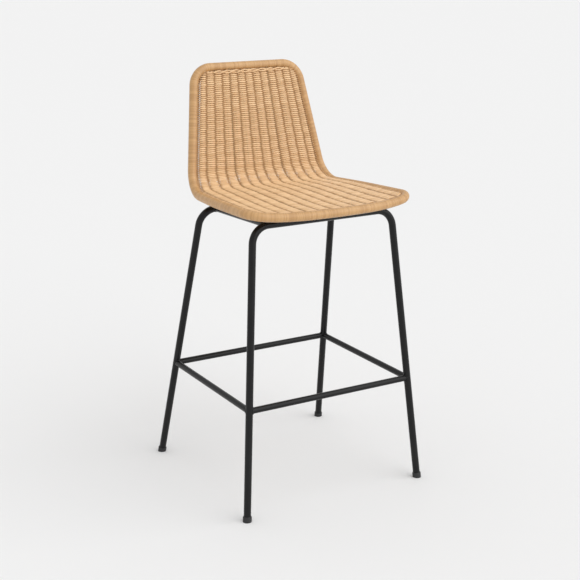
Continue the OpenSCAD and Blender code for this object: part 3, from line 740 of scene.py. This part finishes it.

# %% [markdown]
# ## Stakes
# Thirteen stakes run from the front rail to the top rail inside the weave. They show only through
# its holes and at its ends, but without them light would pass the wrong way. Each is a round cane
# on one guide, and its cane is coloured darker than the weavers as painted shade in the holes.

# %% Round strand tree
round_tree, need, round_result = new_tree("Round strands", {
    "Radius": 0.0015, "Knobble": 0.1, "Knobble length": 0.02, "Sides": 8, "Material": None})
rod_curve = add(round_tree, "GeometryNodeMeshToCurve", {"Mesh": need["Geometry"]}).outputs[0]
wave = maths(round_tree, "SINE", maths(round_tree, "DIVIDE", maths(
    round_tree, "MULTIPLY", read(round_tree, "along"), math.tau), need["Knobble length"]))
rod_radius = maths(round_tree, "MULTIPLY", need["Radius"], maths(
    round_tree, "MULTIPLY_ADD", wave, need["Knobble"], 1.0))
rod_centre = add(round_tree, "GeometryNodeInputPosition").outputs[0]
rods = swept(round_tree, rod_curve, rod_centre, rod_radius, rod_radius, need)
round_tree.links.new(rods, round_result["Geometry"])
print("round strand tree has", len(round_tree.nodes), "nodes")

# %% [markdown]
# A stake keeps the same share of the shell's width all the way, so the thirteen
# lean together as the shell narrows, and each ends against the rim.

# %% Stakes
STAKE_GAP, STAKE_LENGTH = 0.002, 0.7
edge = half_outline(EDGE_IN + STAKE_GAP)


def column_guide(u, points=80):
    """A line from the front rail to the top rail at a fixed share u of the half width."""
    s = np.linspace(-FRONT_BOW, S_TOP, 2000)
    x = u * inner_half(s)
    order = np.argsort(edge[:, 1], kind="stable")
    limit = np.interp(s, edge[order, 1], edge[order, 0])
    within = (np.abs(x) <= limit) & (s > bowed(np.abs(x), -FRONT_BOW) + EDGE_IN)
    s = np.linspace(s[within][0], min(s[within][-1], S_TOP - EDGE_IN), points)
    x = u * inner_half(s)
    point = shell_point(x, s, WEAVE_LIFT)
    along = np.gradient(point, axis=0)
    out = shell_up(s)
    side = np.cross(along, out)
    return (point, side, np.cross(side, along)), np.linspace(0, STAKE_LENGTH, points)


columns = [column_guide(k / HALF_BANDS) for k in range(-6, 7)]
mesh = guide_mesh("stakes", [c[0] for c in columns], along=[c[1] for c in columns],
                  tone=[np.full(len(c[1]), (0.3 + 0.37 * k) % 1) for k, c in enumerate(columns)])
finish_piece("cane_stakes", mesh, round_tree, "woven_cane",
             [f"cane_stake_{k:02d}" for k in range(1, BANDS + 1)],
             Material=stake_cane_painted_shade, Knobble=0.04)

# %% [markdown]
# The weavers' ends turn round one more cane, which follows the rim on its inner side and closes the
# small holes from behind. It is one closed guide, swept by the same tree as the stakes, and takes
# the stakes' dark cane as painted shade in the holes.

# %% Edge cane
EDGE_CANE_IN, EDGE_CANE_DROP, EDGE_CANE_RADIUS = 0.0035, 0.0085, 0.004
edge_line = whole_outline(EDGE_IN + EDGE_CANE_IN)[::3]
edge_points = shell_point(edge_line[:, 0], edge_line[:, 1], WEAVE_LIFT - EDGE_CANE_DROP)
edge_along = np.roll(edge_points, -1, 0) - np.roll(edge_points, 1, 0)
edge_side = np.cross(edge_along, shell_up(edge_line[:, 1]))
edge_run = length_along(edge_points)
mesh = guide_mesh("edge", [(edge_points, edge_side, np.cross(edge_side, edge_along))], closed=True,
                  along=[edge_run], tone=[np.full(len(edge_run), 0.2)])
finish_piece("edge_cane", mesh, round_tree, "woven_cane", Material=stake_cane_painted_shade,
             Radius=EDGE_CANE_RADIUS, Knobble=0.03)

# %% [markdown]
# ## The wound rim
# A thin cane strip is wound round the steel rim tube, turn beside turn, close
# to eight hundred times. Modelling the strip itself would double every surface,
# so one tube follows the rim and swells between the grooves of the winding.

# %% Rim tree
rim_tree, rim_want, rim_result = new_tree("Wound rim", {
    "Radius": RIM_RADIUS, "Groove": 0.00026, "Unevenness": 0.00012, "Sides": 20, "Seed": 3,
    "Material": None})
turns = read(rim_tree, "turns")
turn = maths(rim_tree, "FLOOR", turns)
rise = maths(rim_tree, "POWER", maths(rim_tree, "SINE", maths(
    rim_tree, "MULTIPLY", maths(rim_tree, "FRACT", turns), math.pi)), 0.5)
dip = maths(rim_tree, "MULTIPLY", maths(rim_tree, "SUBTRACT", 1.0, rise), rim_want["Groove"])
uneven = maths(rim_tree, "MULTIPLY", chance(rim_tree, turn, rim_want["Seed"], 1.0),
               rim_want["Unevenness"])
rim_radius = maths(rim_tree, "SUBTRACT", maths(rim_tree, "SUBTRACT", rim_want["Radius"], dip),
                   uneven)
rim_curve = add(rim_tree, "GeometryNodeMeshToCurve", {"Mesh": rim_want["Geometry"]}).outputs[0]
rim_curve = store(rim_tree, rim_curve, "tone", chance(rim_tree, turn, rim_want["Seed"], 2.0))
rim_centre = add(rim_tree, "GeometryNodeInputPosition").outputs[0]
winding = swept(rim_tree, rim_curve, rim_centre, rim_radius, rim_radius, rim_want)
rim_tree.links.new(winding, rim_result["Geometry"])
print("rim tree has", len(rim_tree.nodes), "nodes")

# %% [markdown]
# The guide is one closed line along the rim tube. It gets five points for each
# turn of the strip, so that the swelling is round and the groove is sharp.

# %% Wind the rim
TURN_PITCH, STATIONS = 0.0026, 5
rim_steps = np.linalg.norm(np.roll(rim_line, -1, 0) - rim_line, axis=1)
reach = np.concatenate([[0], np.cumsum(rim_steps)])
loop_x = np.append(outline[:, 0], outline[0, 0])
loop_s = np.append(outline[:, 1], outline[0, 1])
turn_count = round(reach[-1] / TURN_PITCH)
travel = np.arange(turn_count * STATIONS) * reach[-1] / (turn_count * STATIONS)
rim_x, rim_s = np.interp(travel, reach, loop_x), np.interp(travel, reach, loop_s)
rim_points = shell_point(rim_x, rim_s)
along = np.roll(rim_points, -2, 0) - np.roll(rim_points, 2, 0)
side = np.cross(along, shell_up(rim_s))
mesh = guide_mesh("rim", [(rim_points, side, np.cross(side, along))], closed=True,
                  along=[travel], turns=[np.arange(len(travel)) / STATIONS + 1e-4])
finish_piece("wound_rim", mesh, rim_tree, "binding_cane",
             [n for n in slot_of if n.startswith("rim_binding_")], Material=rim_cane)
print(turn_count, "turns of cane round the rim")

# %% [markdown]
# ## The twined border
# Where the weave ends under the top rail, two canes twine round each other and
# hold the last weavers down. Each follows a sine across the border, and where
# they cross, one passes in front of the other.

# %% Border tree
border_tree, ask, border_result = new_tree("Twined border", {
    "Half height": 0.003, "Crossing lift": 0.0013, "Eye length": 0.025, "Width": 0.003,
    "Thickness": 0.002, "Sides": 8, "Material": None})
eyes = maths(border_tree, "DIVIDE", maths(
    border_tree, "MULTIPLY", read(border_tree, "along"), math.pi), ask["Eye length"])
phase = maths(border_tree, "ADD", eyes, read(border_tree, "turn"))
weave_side = maths(border_tree, "MULTIPLY", maths(border_tree, "SINE", phase), ask["Half height"])
weave_out = maths(border_tree, "MULTIPLY", maths(border_tree, "COSINE", phase),
                  ask["Crossing lift"])
twined = plus(border_tree, add(border_tree, "GeometryNodeInputPosition").outputs[0],
              plus(border_tree,
                   scaled(border_tree, read(border_tree, "side", "FLOAT_VECTOR"), weave_side),
                   scaled(border_tree, read(border_tree, "out", "FLOAT_VECTOR"), weave_out)))
border_curve = add(border_tree, "GeometryNodeMeshToCurve", {"Mesh": ask["Geometry"]}).outputs[0]
canes = swept(border_tree, border_curve, twined, maths(border_tree, "MULTIPLY", ask["Width"], 0.5),
              maths(border_tree, "MULTIPLY", ask["Thickness"], 0.5), ask)
border_tree.links.new(canes, border_result["Geometry"])
print("border tree has", len(border_tree.nodes), "nodes")

# %% [markdown]
# Both canes start from the same straight guide, as wide as the CAD's plain
# border. Half a wave between them makes one rise where the other dips.

# %% Twine the border
BORDER_GAP, BORDER_LIFT = 0.0036, 0.0052
BORDER_POINTS = 160
border_low, border_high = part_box("border_braid")
border_x = np.linspace(border_low.x, border_high.x, BORDER_POINTS)
border_s = np.full(BORDER_POINTS, S_TOP - RIM_RADIUS - BORDER_GAP)
border_mid = shell_point(border_x, border_s, WEAVE_LIFT + BORDER_LIFT)
up_back = np.tile([0, math.sin(BACK_TILT), math.cos(BACK_TILT)], (BORDER_POINTS, 1))
line = (border_mid, up_back, shell_up(border_s))
ones = np.ones(BORDER_POINTS)
mesh = guide_mesh("border", [line, line], along=[border_x, border_x],
                  turn=[0 * ones, math.pi * ones], tone=[0.8 * ones, 0.6 * ones])
finish_piece("twined_border", mesh, border_tree, "woven_cane", ["border_braid"],
             Material=weave_cane)

# %% [markdown]
# ## Weld beads
# The footrest bars and the seat rails are coped to the tubes they meet and
# welded all round. A weld is a small ripple of metal that follows the line
# where two tubes meet, so each guide is that line, found by sliding points
# along the thinner tube until they reach the thicker one.

# %% Where a thin tube meets a thick one
def unit(v):
    return v / np.linalg.norm(v, axis=-1, keepdims=True)


def weld_line(start, direction, radius, axis_point, axis, tube_radius, points=96):
    """The closed line where a bar from start meets the near side of a tube."""
    direction, axis = unit(np.array(direction, float)), unit(np.array(axis, float))
    across = unit(np.cross(direction, axis))
    other = np.cross(direction, across)
    turn = np.linspace(0, math.tau, points, endpoint=False)[:, None]
    spoke = np.cos(turn) * across + np.sin(turn) * other
    begin = np.array(start, float) + radius * spoke
    gap = begin - np.array(axis_point, float)
    flat_d = direction - (direction @ axis) * axis
    flat_g = gap - (gap @ axis)[:, None] * axis
    a, b, c = flat_d @ flat_d, 2 * flat_g @ flat_d, (flat_g ** 2).sum(1) - tube_radius ** 2
    reach_out = (-b + np.sqrt(np.maximum(b * b - 4 * a * c, 0))) / (2 * a)
    point = begin + reach_out[:, None] * direction
    along = unit(np.roll(point, -1, 0) - np.roll(point, 1, 0))
    side = unit(np.cross(along, spoke))
    return (point, side, np.cross(side, along)), length_along(point)


# %% [markdown]
# The legs' axes come from the CAD sizes: where each foot stands, and where
# the sharp corners of the bent frames would be.

# %% Weld every joint
REST_HEIGHT, RAIL_X = 0.272, 0.155
LEG_RADIUS, REST_RADIUS, RAIL_RADIUS = 0.009, 0.00775, 0.00775
BEAD_RADIUS, BEAD_RIPPLE = 0.0017, 0.0024
REAR_BAR_Z = BAR_HEIGHT - (REAR_BAR_Y - FRONT_BAR_Y) * math.tan(SEAT_SLOPE)
legs = {}
for where_y, foot_y, bar_y, bar_z in (("front", -FOOT_Y, FRONT_BAR_Y, BAR_HEIGHT),
                                      ("rear", FOOT_Y, REAR_BAR_Y, REAR_BAR_Z)):
    for hand_x in (-1, 1):
        foot = np.array([hand_x * FOOT_X, foot_y, 0])
        head = np.array([hand_x * LEG_TOP_X, bar_y, bar_z])
        joint = foot + (head - foot) * REST_HEIGHT / bar_z
        legs[where_y, hand_x] = (foot, unit(head - foot), joint)
welds = []
for (where_y, hand_x), (foot, axis, joint) in legs.items():
    mate = legs[where_y, -hand_x][2]
    beside = legs["rear" if where_y == "front" else "front", hand_x][2]
    for other in (mate, beside):
        way = unit(other - joint)
        welds.append(weld_line(joint, way, REST_RADIUS, foot, axis, LEG_RADIUS))
rail_way = np.array([0, math.cos(SEAT_SLOPE), -math.sin(SEAT_SLOPE)])
for hand_x in (-1, 1):
    for centre, way in (((hand_x * RAIL_X, FRONT_BAR_Y, BAR_HEIGHT), rail_way),
                        ((hand_x * RAIL_X, REAR_BAR_Y, REAR_BAR_Z), -rail_way)):
        welds.append(weld_line(centre, way, RAIL_RADIUS, centre, (1, 0, 0), LEG_RADIUS))
mesh = guide_mesh("welds", [w[0] for w in welds], closed=True, along=[w[1] for w in welds],
                  tone=[np.zeros(len(w[1])) for w in welds])
finish_piece("weld_beads", mesh, round_tree, "powder_coat", Material=powder_coat,
             Radius=BEAD_RADIUS, Knobble=0.14, Knobble_length=BEAD_RIPPLE, Sides=10)
print(len(welds), "welds")

# %% [markdown]
# ## Floor and light
# The stool stands on a plain pale floor: one flat face, so wide that it fills
# the view behind the stool. A pale sky lights it from all round, and one large
# soft sun from the right gives the faint shadows.

# %% Floor
FLOOR_HALF = 60.0
plane = bmesh.new()
bmesh.ops.create_grid(plane, x_segments=1, y_segments=1, size=FLOOR_HALF)
floor_mesh = bpy.data.meshes.new("studio_floor")
plane.to_mesh(floor_mesh)
plane.free()
studio_paper, _ = material("studio_paper", coat_group, {
    "Tint": rgb(0.86, 0.86, 0.86), "Dust": rgb(0.85, 0.85, 0.85), "Dust amount": 0.1,
    "Peel per metre": 300.0, "Gloss low": 0.85, "Gloss high": 0.95}, (0.02, 0.0002),
    Specular_IOR_Level=0.1)
floor_mesh.materials.append(studio_paper)
floor = bpy.data.objects.new("studio_floor", floor_mesh)
bpy.context.scene.collection.objects.link(floor)
print("floor normal", tuple(round(v, 2) for v in floor_mesh.polygons[0].normal))

# %% [markdown]
# The sky is plain white and a little under full strength, so that the floor
# stays just short of pure white. The sun's disc is far wider than the real one,
# which is what makes its light soft.

# %% Lights and sky
SKY_STRENGTH = 0.77
world = bpy.data.worlds.new("studio")
world.use_nodes = True
sky = world.node_tree.nodes["Background"]
sky.inputs["Color"].default_value = rgb(1, 1, 1)
sky.inputs["Strength"].default_value = SKY_STRENGTH
bpy.context.scene.world = world
bpy.context.scene.view_settings.view_transform = "Standard"


def sun(name, elevation, turn, softness, strength):
    data = bpy.data.lights.new(name, "SUN")
    data.energy, data.angle = strength, math.radians(softness)
    made = bpy.data.objects.new(name, data)
    made.rotation_euler = (math.radians(90 - elevation), 0, math.radians(turn))
    bpy.context.scene.collection.objects.link(made)


sun("key", elevation=36, turn=34, softness=75, strength=1.45)
print("sky strength", SKY_STRENGTH)

# %% [markdown]
# ## Camera
# A long lens from the front left, a little above the seat, keeps the legs
# nearly parallel.

# %% Camera
camera_data = bpy.data.cameras.new("camera")
camera_data.sensor_width, camera_data.lens = 36.0, 74.9
camera_data.clip_end = 200.0
camera = bpy.data.objects.new("camera", camera_data)
camera.location = (-1.5040, -2.5814, 1.3460)
camera.rotation_euler = (math.radians(73.91), 0, math.radians(-30.42))
bpy.context.scene.collection.objects.link(camera)
bpy.context.scene.camera = camera
print("lens", round(camera_data.lens, 1), "mm, camera", round(camera.location.z, 2), "m up")
